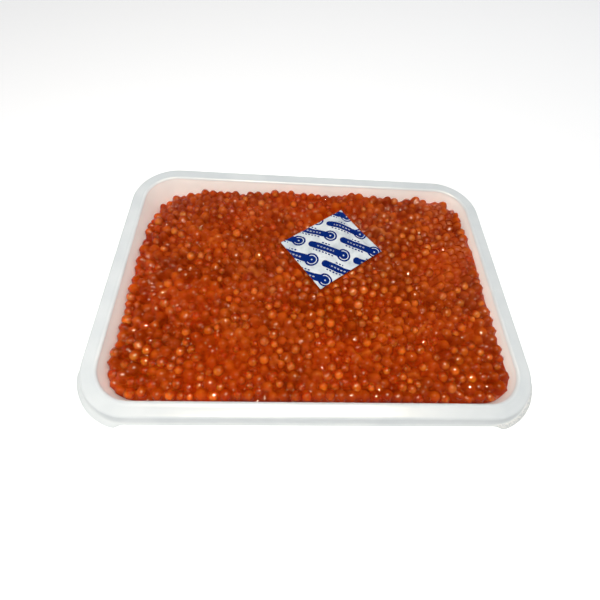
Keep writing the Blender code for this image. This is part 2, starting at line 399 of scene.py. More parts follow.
@dataclass
class Tray:
    """The moulded tray: floor, drafted walls, crowned rim, skirt, and an ear at each corner."""

    length: float = 0.230
    depth: float = 0.162
    height: float = 0.044
    corner_radius: float = 0.027
    corner_steps: int = 24
    side_steps: int = 8
    rim_width: float = 0.008
    inner_round: float = 0.0013
    fold_round: float = 0.0014
    wall: float = 0.0009
    draft: float = math.radians(8.0)
    fillet: float = 0.006
    fillet_steps: int = 7
    skirt_drop: float = 0.0052
    skirt_flare: float = 0.0014
    lip_width: float = 0.0008
    bead_height: float = 0.00016
    ear_long: float = 0.0024
    ear_short: float = 0.0008
    ear_start: float = math.radians(5.0)
    ear_full: float = math.radians(13.0)
    finish: PlasticFinish = PlasticFinish()

    @property
    def reach_x(self) -> float:
        """Where the corner arcs are centred along the length."""
        return self.length / 2 - self.corner_radius

    @property
    def reach_y(self) -> float:
        """Where the corner arcs are centred along the depth."""
        return self.depth / 2 - self.corner_radius

    def path(self) -> tuple[np.ndarray, np.ndarray]:
        """Walk once round the rounded rectangle, anticlockwise.

        A point of it is an anchor plus a distance times a direction. On a corner the anchor
        stays at the arc's centre and the direction turns; on a side the direction stays.

        Returns:
            The anchors and the directions, one a row.
        """
        quarter = np.linspace(0, np.pi / 2, self.corner_steps + 1)
        share = np.linspace(0, 1, self.side_steps + 2)[1:-1, None]
        signs = np.array([(1, 1), (-1, 1), (-1, -1), (1, -1)], float)
        anchors, directions = [], []
        for index in range(4):
            centre = signs[index] * (self.reach_x, self.reach_y)
            following = signs[(index + 1) % 4] * (self.reach_x, self.reach_y)
            turn = quarter + index * np.pi / 2
            arc = np.stack((np.cos(turn), np.sin(turn)), axis=-1)
            anchors += [np.tile(centre, (len(turn), 1)), centre + (following - centre) * share]
            directions += [arc, np.tile(arc[-1], (self.side_steps, 1))]
        return np.concatenate(anchors), np.concatenate(directions)

    def ear(self, directions: np.ndarray) -> np.ndarray:
        """How far the ears stand out: a share of a width that falls from long side to short.

        Args:
            directions: the path's directions, one a row.

        Returns:
            The width at each of them.
        """
        turn = np.arctan2(np.abs(directions[:, 0]), np.abs(directions[:, 1]))
        width = self.ear_long + (self.ear_short - self.ear_long) * turn / (np.pi / 2)
        edge = np.minimum(turn, np.pi / 2 - turn)
        return width * smooth_share(edge, self.ear_start, self.ear_full)

    def inner_inset(self, height: np.ndarray | float) -> np.ndarray | float:
        """How far the wall's inside lies in from the fold, at a height."""
        return self.rim_width + (self.height - height) * math.tan(self.draft)

    def inside_wall(self, spots: np.ndarray, height: np.ndarray | float) -> np.ndarray:
        """Distance in from the wall: the corner's radius less the inset and the reach past the anchors.

        Args:
            spots: points, one a row.
            height: where the wall is taken.

        Returns:
            The distances, below zero past the wall.
        """
        over = np.abs(spots[:, :2]) - (self.reach_x, self.reach_y)
        reach = np.hypot(*np.maximum(over, 0).T) + np.minimum(over.max(axis=1), 0)
        return self.corner_radius - self.inner_inset(height) - reach

    def skin(self) -> np.ndarray:
        """Inset, height and ear share of the skin, from the floor's top round the lip to its underside.

        Returns:
            One row for each ring, where the last two columns are one on the inside of the wall,
            and the share of painted shade that greys the outer fold and the top of the skirt.
        """
        top = self.height
        sin_draft, cos_draft = math.sin(self.draft), math.cos(self.draft)
        wall_top = top - self.inner_round
        centre_height = self.wall + self.fillet
        centre_inset = self.rim_width + (self.fillet + (wall_top - centre_height) * sin_draft) / cos_draft
        turn = np.linspace(np.pi / 2, self.draft, self.fillet_steps)[:, None]
        fillet = np.hstack((centre_inset - self.fillet * np.cos(turn),
                            centre_height - self.fillet * np.sin(turn)))
        outer = self.fillet + self.wall
        under = np.hstack((centre_inset - outer * np.cos(turn), centre_height - outer * np.sin(turn)))[::-1]
        wall_heights = np.linspace(fillet[-1, 1], wall_top, 9)[1:, None]
        wall = np.hstack((self.rim_width + (wall_top - wall_heights) * math.tan(self.draft), wall_heights))
        inner, fold, bead = self.inner_round, self.fold_round, self.bead_height
        rim = np.array([
            (self.rim_width - 0.10 * inner, top - 0.62 * inner),
            (self.rim_width - 0.30 * inner, top - 0.33 * inner),
            (self.rim_width - 0.62 * inner, top - 0.12 * inner),
            (self.rim_width - 1.00 * inner, top - 0.02 * inner),
            (self.rim_width - 1.25 * inner, top),
            (self.rim_width - 1.50 * inner, top - 0.4 * bead),
            (self.rim_width - 1.75 * inner, top - bead),
            (self.rim_width * 0.6, top - 0.8 * bead),
            (self.rim_width * 0.4, top - 0.8 * bead),
            (fold * 1.1, top - 1.3 * bead),
            (fold * 0.7, top - 0.14 * fold),
            (fold * 0.35, top - 0.36 * fold),
            (fold * 0.12, top - 0.66 * fold),
            (0.0, top - 1.1 * fold),
        ])
        low = top - self.skirt_drop
        flare, lip, wall_thick = self.skirt_flare, self.lip_width, self.wall
        upper = np.hstack((np.vstack((fillet, wall, rim)), np.zeros((len(fillet) + len(wall) + len(rim), 1))))
        outside = np.array([
            (-0.45 * flare, low + 0.45 * (self.skirt_drop - fold), 0.0),
            (-0.85 * flare, low + 0.5 * wall_thick, 0.03),
            (-flare - 0.1 * lip, low + 0.12 * wall_thick, 0.10),
            (-flare - 0.3 * lip, low, 0.25),
            (-flare - 0.85 * lip, low - 0.1 * wall_thick, 0.92),
            (-flare - lip, low - 0.4 * wall_thick, 1.0),
            (-flare - 0.95 * lip, low - 0.85 * wall_thick, 0.98),
            (-flare - 0.6 * lip, low - wall_thick, 0.85),
            (-0.6 * flare, low - wall_thick, 0.2),
            (0.3 * flare, low - 0.4 * wall_thick, 0.05),
            (wall_thick, top - fold - wall_thick, 0.0),
            (fold, top - wall_thick - 0.5 * fold, 0.0),
            (0.5 * self.rim_width, top - wall_thick - bead, 0.0),
            (self.rim_width - inner - wall_thick, top - wall_thick - bead, 0.0),
        ])
        back_heights = np.linspace(wall_top - wall_thick, under[0, 1], 8)[:-1, None]
        lean = (wall_top - back_heights) * math.tan(self.draft)
        back_inset = self.rim_width + lean - wall_thick / cos_draft
        back = np.hstack((back_inset, back_heights, np.zeros((len(back_heights), 1))))
        under = np.hstack((under, np.zeros((len(under), 1))))
        rings = np.vstack((upper, outside, back, under))
        inside = np.arange(len(rings)) < len(fillet) + len(wall) + 4
        # Painted shade on the outer fold and the top of the skirt.
        painted_shade = np.zeros(len(rings))
        painted_shade[len(upper) - 2:len(upper) + 2] = (0.3, 1.0, 0.7, 0.2)
        return np.hstack((rings, inside[:, None], painted_shade[:, None]))

    def carry(self, distance: np.ndarray, heights: np.ndarray) -> tuple[np.ndarray, list[list[int]]]:
        """Carry a profile once round the path, and close it with a face at its first and last ring.

        Args:
            distance: each ring's distance from the anchors, for the whole path or for each of its points.
            heights: each ring's height.

        Returns:
            The points, one a row, and the faces, which look outwards where the profile goes upwards.
        """
        anchors, directions = self.path()
        flat = anchors[None] + directions[None] * distance[..., None]
        levels = np.broadcast_to(heights[:, None, None], flat.shape[:2] + (1,))
        points = np.concatenate((flat, levels), axis=-1).reshape(-1, 3)
        columns = len(anchors)
        faces = grid_faces(len(heights), columns, wrap=True)
        last = (len(heights) - 1) * columns
        faces += [list(range(columns - 1, -1, -1)), list(range(last, last + columns))]
        return points, faces

    def build(self) -> bpy.types.Object:
        """Carry the skin's profile round the path, close the floor above and below, and dress it.

        Returns:
            The piece.
        """
        rings = self.skin()
        directions = self.path()[1]
        ears = self.ear(directions)
        distance = self.corner_radius - rings[:, None, 0] + rings[:, None, 2] * ears[None, :]
        points, faces = self.carry(distance, rings[:, 1])
        faces = [face[::-1] for face in faces]
        piece = add_mesh("tray_white", points, faces, self.finish.material(self))
        columns = len(directions)
        write_attribute(piece, "inside", np.repeat(rings[:, 3], columns))
        # The share of painted shade under the outer fold.
        write_attribute(piece, "fold", np.repeat(rings[:, 4], columns))
        on_ear = smooth_share(ears, 0.0, 0.0005)[None, :] * (np.abs(rings[:, 2] - 0.6) < 0.4)[:, None]
        grip = (directions[:, 0] * directions[:, 1] < 0)[None, :]
        write_attribute(piece, "knurl", (on_ear * grip).ravel())
        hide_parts("tray")
        return piece


@dataclass(frozen=True)
class PaperFinish:
    """White coated paper with a blue print of bars, ringed discs and dashes, in millimetres."""

    paper: str = "dfe3e3"
    shade: str = "b9c0c4"
    ink: str = "08246c"
    bar_turn: float = math.radians(-56.0)
    row_pitch: float = 10.7
    bar_period: float = 30.0
    row_shift: float = 12.3
    bar_middle: float = 12.8
    bar_half: float = 8.9
    bar_radius: float = 2.45
    disc_middle: float = 24.9
    disc_radius: float = 4.4
    ring_radius: float = 3.0
    ring_width: float = 0.26
    dot_radius: float = 0.54
    dash_period: float = 2.1
    dash_height: float = 0.95
    dash_share: float = 0.6
    dash_ink: float = 0.55
    map_shift: tuple[float, float] = (500.0, 501.5)

    def material(self) -> bpy.types.Material:
        """Make the material, whose print is laid out on the piece's own map.

        Returns:
            The material.
        """
        bench = ShaderBench("sachet_paper")
        flat = bench.node("ShaderNodeUVMap", {"uv_map": "UVMap"}, {}).outputs[0]
        along, across, _ = bench.split(flat)
        cos_turn, sin_turn = math.cos(self.bar_turn), math.sin(self.bar_turn)
        run = along * cos_turn + across * sin_turn + self.map_shift[0]
        rise = across * cos_turn - along * sin_turn + self.map_shift[1]
        row = (rise / self.row_pitch).floor()
        in_row = rise.modulo(self.row_pitch) - self.row_pitch / 2
        step = (run + row * self.row_shift).modulo(self.bar_period)
        from_bar = (abs(step - self.bar_middle) - self.bar_half).most(0.0)
        bar = (from_bar * from_bar + in_row * in_row).root() < self.bar_radius
        from_disc = step - self.disc_middle
        reach = (from_disc * from_disc + in_row * in_row).root()
        ring = abs(reach - self.ring_radius) < self.ring_width
        dot = reach < self.dot_radius
        disc = (reach < self.disc_radius) - ring - dot
        lines = self._dashes(run, in_row, 0.0, step, 6.6, 18.4) * self.dash_ink
        below = self._dashes(run, in_row, -3.4, step, 5.6, 18.9)
        above = self._dashes(run, in_row, 3.5, step, 8.9, 14.5)
        print_mask = (bar - lines).most(disc).most(below).most(above).most(0.0)
        cloud = bench.noise(flat, 0.12, 4.0)
        white = bench.mix(cloud.between(0.35, 0.75), tint(self.paper), tint(self.shade))
        bench.set(
            Base_Color=bench.mix(print_mask, white, tint(self.ink)),
            Roughness=0.45 - print_mask * 0.1 + cloud * 0.1,
            Specular_IOR_Level=0.0,
        )
        fibres = bench.noise(flat, 1.6, 6.0) + bench.noise(flat, 0.35, 3.0) * 2.0
        bench.relief(fibres, 0.0001, 0.5)
        return bench.material

    def _dashes(self, run: Wire, in_row: Wire, offset: float, step: Wire, start: float, end: float) -> Wire:
        """A line of short dashes beside or on the bars.

        Args:
            run: place along the rows.
            in_row: place across a row, from its middle.
            offset: the line's place across the row.
            step: place within a bar's period.
            start: where it starts within the period.
            end: where it ends.

        Returns:
            One on the dashes, and else zero.
        """
        tick = run.modulo(self.dash_period) < self.dash_period * self.dash_share
        line = abs(in_row - offset) < self.dash_height / 2
        return tick * line * (step > start) * (step < end)


@dataclass
class Sachet:
    """The absorber sachet: a paper pillow with crimped seams and a few soft creases."""

    length: float = 0.050
    width: float = 0.041
    centre: tuple[float, float] = (0.0133, 0.0246)
    turn: float = math.radians(36.2)
    seam: float = 0.0005
    seam_width: float = 0.0035
    fill: float = 0.0026
    underside: float = 0.0367
    grain_height: float = 0.00012
    crimp_pitch: float = 0.0007
    crimp_top: float = 0.00007
    crimp_base: float = 0.00004
    back_lift: float = 0.0012
    corner_lift: float = 0.0009
    columns: int = 101
    rows: int = 83
    finish: PaperFinish = PaperFinish()

    def outside(self, spots: np.ndarray) -> np.ndarray:
        """Distance of points from the outline, or zero inside it.

        Args:
            spots: points, one a row.

        Returns:
            The distances.
        """
        offset = spots[:, :2] - self.centre
        cos_turn, sin_turn = math.cos(self.turn), math.sin(self.turn)
        along = np.abs(offset @ (cos_turn, sin_turn)) - self.length / 2
        across = np.abs(offset @ (-sin_turn, cos_turn)) - self.width / 2
        return np.hypot(np.maximum(along, 0), np.maximum(across, 0))

    def build(self) -> bpy.types.Object:
        """Make the pillow.

        Its top rises with the sine of the way in from the seams, less a few creases, and its
        seams carry a fine crimp. Its underside is flat but for the crimp. The back edge and both
        front corners stand off the roe, the top and the underside alike.

        Returns:
            The piece.
        """
        u, v = np.meshgrid(np.linspace(-1, 1, self.columns), np.linspace(-1, 1, self.rows))
        bow = 1 - 0.012 * (1 - v ** 2)
        pinch = 1 - 0.014 * (1 - u ** 2)
        x, y = u * self.length / 2 * bow, v * self.width / 2 * pinch
        inward = np.minimum(self.length / 2 * (1 - np.abs(u)), self.width / 2 * (1 - np.abs(v)))
        reach = np.clip((inward - self.seam_width) / (self.width / 2 - self.seam_width), 0, 1)
        rise = self.fill * np.sin(reach * np.pi / 2) ** 0.7
        creases = (0.00030 * np.exp(-((0.8 * u - 0.6 * v - 0.62) / 0.035) ** 2)
                   + 0.00022 * np.exp(-((0.55 * u + 0.83 * v + 0.35) / 0.05) ** 2)
                   + 0.00018 * np.exp(-((0.2 * u - 0.98 * v + 0.48) / 0.04) ** 2))
        across = np.sin(37 * v + 2 * np.cos(23 * u))
        grains = self.grain_height * np.sin(41 * x / self.length + 3 * np.sin(29 * v)) * across
        crimp_wave = np.cos(inward / self.crimp_pitch * np.pi) * (reach <= 0)
        crimp = self.crimp_top * crimp_wave
        top = self.seam + rise - (creases - grains) * smooth_share(reach, 0.0, 0.3) + crimp
        lift = (self.back_lift * smooth_share(v, -0.6, 1.0) + self.corner_lift * np.clip(-u - v - 0.6, 0, 1)
                + self.corner_lift * smooth_share(u - v, 0.6, 1.8))
        base = np.maximum(lift, 0) + self.crimp_base * crimp_wave + self.crimp_base
        cos_turn, sin_turn = math.cos(self.turn), math.sin(self.turn)
        flat = np.stack((self.centre[0] + x * cos_turn - y * sin_turn,
                         self.centre[1] + x * sin_turn + y * cos_turn), axis=-1)
        upper = np.concatenate((flat, (self.underside + top + lift)[..., None]), axis=-1)
        lower = np.concatenate((flat, (self.underside + base)[..., None]), axis=-1)
        points = np.concatenate((upper.reshape(-1, 3), lower.reshape(-1, 3)))
        count = self.rows * self.columns
        faces = grid_faces(self.rows, self.columns)
        faces += [face[::-1] for face in grid_faces(self.rows, self.columns, first=count)]
        numbers = np.arange(count).reshape(self.rows, self.columns)
        edge = np.concatenate((numbers[0, :-1], numbers[:-1, -1], numbers[-1, :0:-1], numbers[:0:-1, 0]))
        after = np.roll(edge, -1)
        faces += np.stack((edge, edge + count, after + count, after), axis=-1).tolist()
        piece = add_mesh("sachet_paper", points, faces, self.finish.material())
        layer = piece.data.uv_layers.new(name="UVMap")
        corners = np.empty(len(piece.data.loops), np.int32)
        piece.data.loops.foreach_get("vertex_index", corners)
        sheet = np.stack((x.ravel(), y.ravel()), axis=-1) * 1000
        layer.data.foreach_set("uv", np.concatenate((sheet, sheet))[corners].astype(np.float32).ravel())
        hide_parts("sachet")
        return piece


@dataclass
class Heap:
    """The form of the heap of roe inside the tray, without its eggs."""

    tray: Tray
    sachet: Sachet
    drop: float = 0.0098
    mound: float = 0.0011
    waves: tuple = ((0.0004, 61.0, 83.0, 0.4), (0.0003, 118.0, -71.0, 1.9), (0.0003, -47.0, 139.0, 4.1))
    peaks: tuple = (
        (-0.012, 0.068, 0.0028, 0.009), (0.031, 0.069, 0.0026, 0.008), (0.072, 0.066, 0.0018, 0.009),
        (-0.108, 0.070, -0.0084, 0.020), (0.115, 0.030, 0.0048, 0.020), (0.115, -0.025, 0.0048, 0.024),
        (0.110, -0.070, 0.0040, 0.016),
    )
    bed: float = 0.0364
    bed_margin: float = 0.0005
    bed_slope: float = 0.004
    fit_gap: float = 0.0003

    def height(self, spots: np.ndarray) -> np.ndarray:
        """Height of the heap: a low mound, plus waves and peaks, level under the sachet.

        Args:
            spots: points, one a row.

        Returns:
            The heights.
        """
        x, y = spots[:, 0], spots[:, 1]
        along, across = 2 * x / self.tray.length, 2 * y / self.tray.depth
        height = self.tray.height - self.drop + self.mound * (1 - along ** 2) * (1 - across ** 2)
        for rise, by_x, by_y, start in self.waves:
            height = height + rise * np.sin(by_x * x + by_y * y + start)
        for peak_x, peak_y, rise, spread in self.peaks:
            height = height + rise * np.exp(-((x - peak_x) ** 2 + (y - peak_y) ** 2) / (2 * spread ** 2))
        share = np.clip((self.sachet.outside(spots) - self.bed_margin) / self.bed_slope, 0, 1)
        return self.bed + (height - self.bed) * share


class EggKind(Enum):
    """The kinds of egg that the heap mixes."""

    DEEP = "deep"
    BRIGHT = "bright"
    PALE = "pale"


@dataclass(frozen=True)
class EggFinish:
    """The soft, wet body of an egg: thin and dark at its edge, and painted lighter on its upper front side, where
    light would gather in it.
    """

    kind: EggKind
    edge_low: str
    edge_high: str
    # Colour of the painted light that gathers in the egg.
    painted_light: str
    thin: float
    thick: float
    # Where the painted light begins, as a share towards its direction.
    painted_light_from: float = 0.5
    roughness: float = 0.07
    mirror: float = 0.25
    redder: str = "98300a"

    def material(self) -> bpy.types.Material:
        """Make the material, which reads each egg's tone and the way out from its middle.

        Returns:
            The material.
        """
        bench = ShaderBench(f"egg_{self.kind.value}")
        tone = bench.share("tone")
        outward = bench.vector("outward")
        facing = bench.dot(outward, (-0.05, -0.42, 0.90))
        # Painted light: a lighter spot on the upper front side of every egg, in one fixed direction.
        painted_light_share = bench.dot(outward, (-0.08, -0.60, 0.79)).between(self.painted_light_from, 1.0)
        skin = bench.mix(tone, tint(self.edge_low), tint(self.edge_high))
        patch = bench.noise(bench.place(), 42.0, 3.0).between(0.35, 0.65)
        redder = bench.mix(patch * 0.4, skin, tint(self.redder))
        body = facing.between(0.1, 0.95) * (tone * 0.55 + 0.45)
        bench.set(
            Base_Color=bench.mix(painted_light_share * painted_light_share * (0.35 + tone * 0.65), redder, tint(self.painted_light)),
            Alpha=body * (self.thick - self.thin) + self.thin,
            Roughness=self.roughness,
            IOR=1.38,
            Specular_IOR_Level=self.mirror,
            Transmission_Weight=0.3,
            Subsurface_Weight=0.8,
            Subsurface_Radius=(1.0, 0.28, 0.10),
            Subsurface_Scale=0.0024,
        )
        return bench.material


EGG_FINISHES = {
    # The third colour of each is its painted light.
    EggKind.DEEP: EggFinish(EggKind.DEEP, "9c3402", "b44006", "c65608", 0.08, 0.85),
    EggKind.BRIGHT: EggFinish(EggKind.BRIGHT, "aa4206", "bc5008", "e4801e", 0.4, 0.95),
    EggKind.PALE: EggFinish(EggKind.PALE, "ae4e0e", "ba5a14", "e68e3a", 0.35, 0.85),
}


@dataclass
class EggLayers:
    """The loose eggs at the top of the heap, spread by pushing neighbours apart.

    Bright and pale eggs stand out of the wet film. Of the deep ones, a share stands out and the rest
    lies just under it.
    """

    heap: Heap
    spacing: float = 0.0059
    mean_radius: float = 0.0031
    spread: float = 0.0005
    lost_to_blur: float = 0.0001
    smallest: float = 0.0022
    largest: float = 0.0034
    headroom: float = 0.0031
    jitter: float = 0.4
    seed: int = 7
    rounds: int = 40
    touch: float = 0.95
    push: float = 0.25
    round_up: float = 1.02
    swell: float = 1.07
    stretch: tuple[float, float] = (0.93, 1.05)
    rise_share: float = 0.1
    rise_spread: float = 0.0008
    bright_rise: float = 0.0009
    bright_out: float = 0.0013
    deep_out: tuple[float, float] = (0.0004, 0.0012)
    deep_out_share: float = 0.27
    deep_under: float = -0.0005
    pale_share: float = 0.12
    under_sachet: float = 0.0001
    bright_base: float = 0.12
    bright_slope: float = 1.3
    bright_reach: float = 0.07
    bright_cluster: float = 0.095
    bright_limits: tuple[float, float] = (0.03, 0.85)
    clusters: tuple = (
        (-53, 18, 7, 3), (-27, 16, 6, 2), (-50, -12, 7, 4), (-28, -21, 7, 4), (-77, -36, 6, 4),
        (-93, -47, 8, 5), (-69, -49, 7, 5), (-8, -2, 7, 4), (27, 0, 13, 8), (70, 32, 9, 7), (78, 3, 5, 3),
        (53, -23, 8, 5), (75, -44, 10, 8), (8, -31, 12, 5), (-27, -48, 8, 4), (10, -55, 10, 5),
        (87, -31, 8, 4), (-60, -60, 14, 5), (45, -62, 14, 5), (-84, 44, 12, 3), (-38, 60, 12, 2),
        (-2, 58, 7, 3),
    )

    def scatter(self, spacing: float, rng: np.random.Generator) -> np.ndarray:
        """Spots inside the walls, from a honeycomb that is jittered until its rows are lost.

        Args:
            spacing: the honeycomb's pitch.
            rng: where the jitter is drawn from.

        Returns:
            The spots, one a row.
        """
        tray = self.heap.tray
        rows = int(tray.depth / (spacing * HONEYCOMB)) + 2
        columns = int(tray.length / spacing) + 2
        row, column = np.meshgrid(np.arange(rows), np.arange(columns), indexing="ij")
        x = (column - columns / 2 + (row % 2) / 2) * spacing
        y = (row - rows / 2) * spacing * HONEYCOMB
        spots = np.stack((x.ravel(), y.ravel()), axis=-1)
        spots = spots + rng.normal(0.0, self.jitter * spacing, spots.shape)
        return spots[tray.inside_wall(spots, tray.height - self.heap.drop) > 0]

    def keep_inside(self, spots: np.ndarray, room: np.ndarray) -> np.ndarray:
        """Move spots in from the wall to their room, along the way in from the nearest wall.

        Args:
            spots: the eggs' spots, one a row.
            room: how far each keeps from the wall.

        Returns:
            The moved spots.
        """
        tray = self.heap.tray
        level = tray.height - self.heap.drop
        reach = tray.corner_radius - tray.inner_inset(level) - room
        limit = np.array((tray.reach_x, tray.reach_y))
        over = spots - np.clip(spots, -limit, limit)
        length = np.hypot(*over.T)
        beyond = length > np.maximum(reach, 0)
        scale = np.where(beyond, np.maximum(reach, 0) / np.maximum(length, 1e-9), 1.0)
        return spots - over * (1 - scale)[:, None]

    def settle(self, spots: np.ndarray, radii: np.ndarray) -> np.ndarray:
        """Push overlapping neighbours apart, each by a quarter of their overlap, in every round.

        Args:
            spots: the eggs' spots, one a row.
            radii: their radii.

        Returns:
            The settled spots.
        """
        for _ in range(self.rounds):
            apart = spots[:, None] - spots[None]
            distance = np.hypot(apart[..., 0], apart[..., 1]) + np.eye(len(spots))
            wanted = (radii[:, None] + radii[None]) * self.touch
            push = np.clip(wanted - distance, 0, None) * (1 - np.eye(len(spots)))
            spots = spots + (apart / distance[..., None] * (push * self.push)[..., None]).sum(axis=1)
            spots = self.keep_inside(spots, radii)
        return spots

    def bright_chance(self, spots: np.ndarray) -> np.ndarray:
        """Chance that an egg is bright: a base that rises to the front, and the clusters.

        Args:
            spots: the eggs' spots, one a row.

        Returns:
            The chances.
        """
        back = np.clip(spots[:, 1], -self.bright_reach, self.bright_reach)
        chance = self.bright_base - self.bright_slope * back
        for x, y, spread, weight in self.clusters:
            away = np.hypot(spots[:, 0] - x / 1000, spots[:, 1] - y / 1000)
            chance = chance + self.bright_cluster * weight * np.exp(-(away / (spread / 1000)) ** 2)
        return np.clip(chance, *self.bright_limits)

    def place(self) -> dict[EggKind, tuple[np.ndarray, ...]]:
        """Find every egg's middle, radius, tone and how far it stands out of the film.

        Returns:
            For each kind, the middles, the radii, the tones and how far out.
        """
        rng = np.random.default_rng(self.seed)
        tray, sachet = self.heap.tray, self.heap.sachet
        spots = self.scatter(self.spacing, rng)
        count = len(spots)
        radii = np.clip(rng.normal(self.mean_radius, self.spread, count), self.smallest, self.largest)
        spots = self.settle(spots, radii)
        rise = radii * self.rise_share + rng.normal(0.0, self.rise_spread, count)
        draw = rng.random(count)
        chance = self.bright_chance(spots)
        bright = draw < chance
        pale = draw < chance * self.pale_share
        heights = self.heap.height(spots) + (rise + bright * self.bright_rise)
        heights = np.minimum(heights, tray.height - self.headroom - radii)
        away = sachet.outside(spots)
        widest = radii * self.swell
        cap = np.sqrt(np.maximum(widest ** 2 - away ** 2, 0))
        under = sachet.underside - self.under_sachet - cap
        heights = np.where(away < widest, np.minimum(heights, under), heights)
        kinds = np.where(pale, 2, np.where(bright, 1, 0))
        tones = rng.random(count)
        out = rng.uniform(*self.deep_out, count)
        deep = np.where(rng.random(count) < self.deep_out_share, out, self.deep_under)
        shown = np.where(bright, self.bright_out, deep)
        middles = np.concatenate((spots, heights[:, None]), axis=1)
        found = {}
        for number, kind in enumerate(EggKind):
            chosen = kinds == number
            found[kind] = (middles[chosen], radii[chosen], tones[chosen], shown[chosen])
        return found

    @staticmethod
    def ball() -> tuple[np.ndarray, np.ndarray]:
        """A round body of eighty faces.

        Returns:
            Its points, one a row, and the three points of each face.
        """
        bm = bmesh.new()
        bmesh.ops.create_icosphere(bm, subdivisions=2, radius=1.0)
        points = np.array([vert.co[:] for vert in bm.verts])
        faces = np.array([[vert.index for vert in face.verts] for face in bm.faces])
        bm.free()
        return points, faces

    @staticmethod
    def turns(count: int, rng: np.random.Generator) -> np.ndarray:
        """Random turns as matrices, from unit quaternions.

        Args:
            count: how many.
            rng: where they are drawn from.

        Returns:
            One matrix for each.
        """
        w, x, y, z = (q := rng.normal(size=(4, count))) / np.linalg.norm(q, axis=0)
        rows = (
            (1 - 2 * (y * y + z * z), 2 * (x * y - w * z), 2 * (x * z + w * y)),
            (2 * (x * y + w * z), 1 - 2 * (x * x + z * z), 2 * (y * z - w * x)),
            (2 * (x * z - w * y), 2 * (y * z + w * x), 1 - 2 * (x * x + y * y)),
        )
        return np.moveaxis(np.array(rows), -1, 0)

    def build(self, eggs: dict[EggKind, tuple[np.ndarray, ...]]) -> None:
        """Make one mesh of each kind: the ball, stretched a little, turned, and set at each middle.

        Args:
            eggs: what place found.
        """
        points, faces = self.ball()
        for number, (kind, (middles, radii, tones, _)) in enumerate(eggs.items()):
            rng = np.random.default_rng(self.seed + 100 + number)
            count = len(middles)
            stretch = rng.uniform(*self.stretch, (count, 1, 3))
            shapes = (points[None] * stretch) @ self.turns(count, rng).transpose(0, 2, 1)
            bodies = shapes * (radii * self.round_up)[:, None, None] + middles[:, None]
            numbers = faces[None] + (np.arange(count) * len(points))[:, None, None]
            material = EGG_FINISHES[kind].material()
            piece = add_mesh(f"eggs_{kind.value}", bodies.reshape(-1, 3), numbers.reshape(-1, 3).tolist(),
                             material)
            write_attribute(piece, "outward", shapes.reshape(-1, 3))
            write_attribute(piece, "tone", np.repeat(tones, len(points)))
            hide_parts("roe")
            LOG.info("%s eggs: %d", kind.value, count)


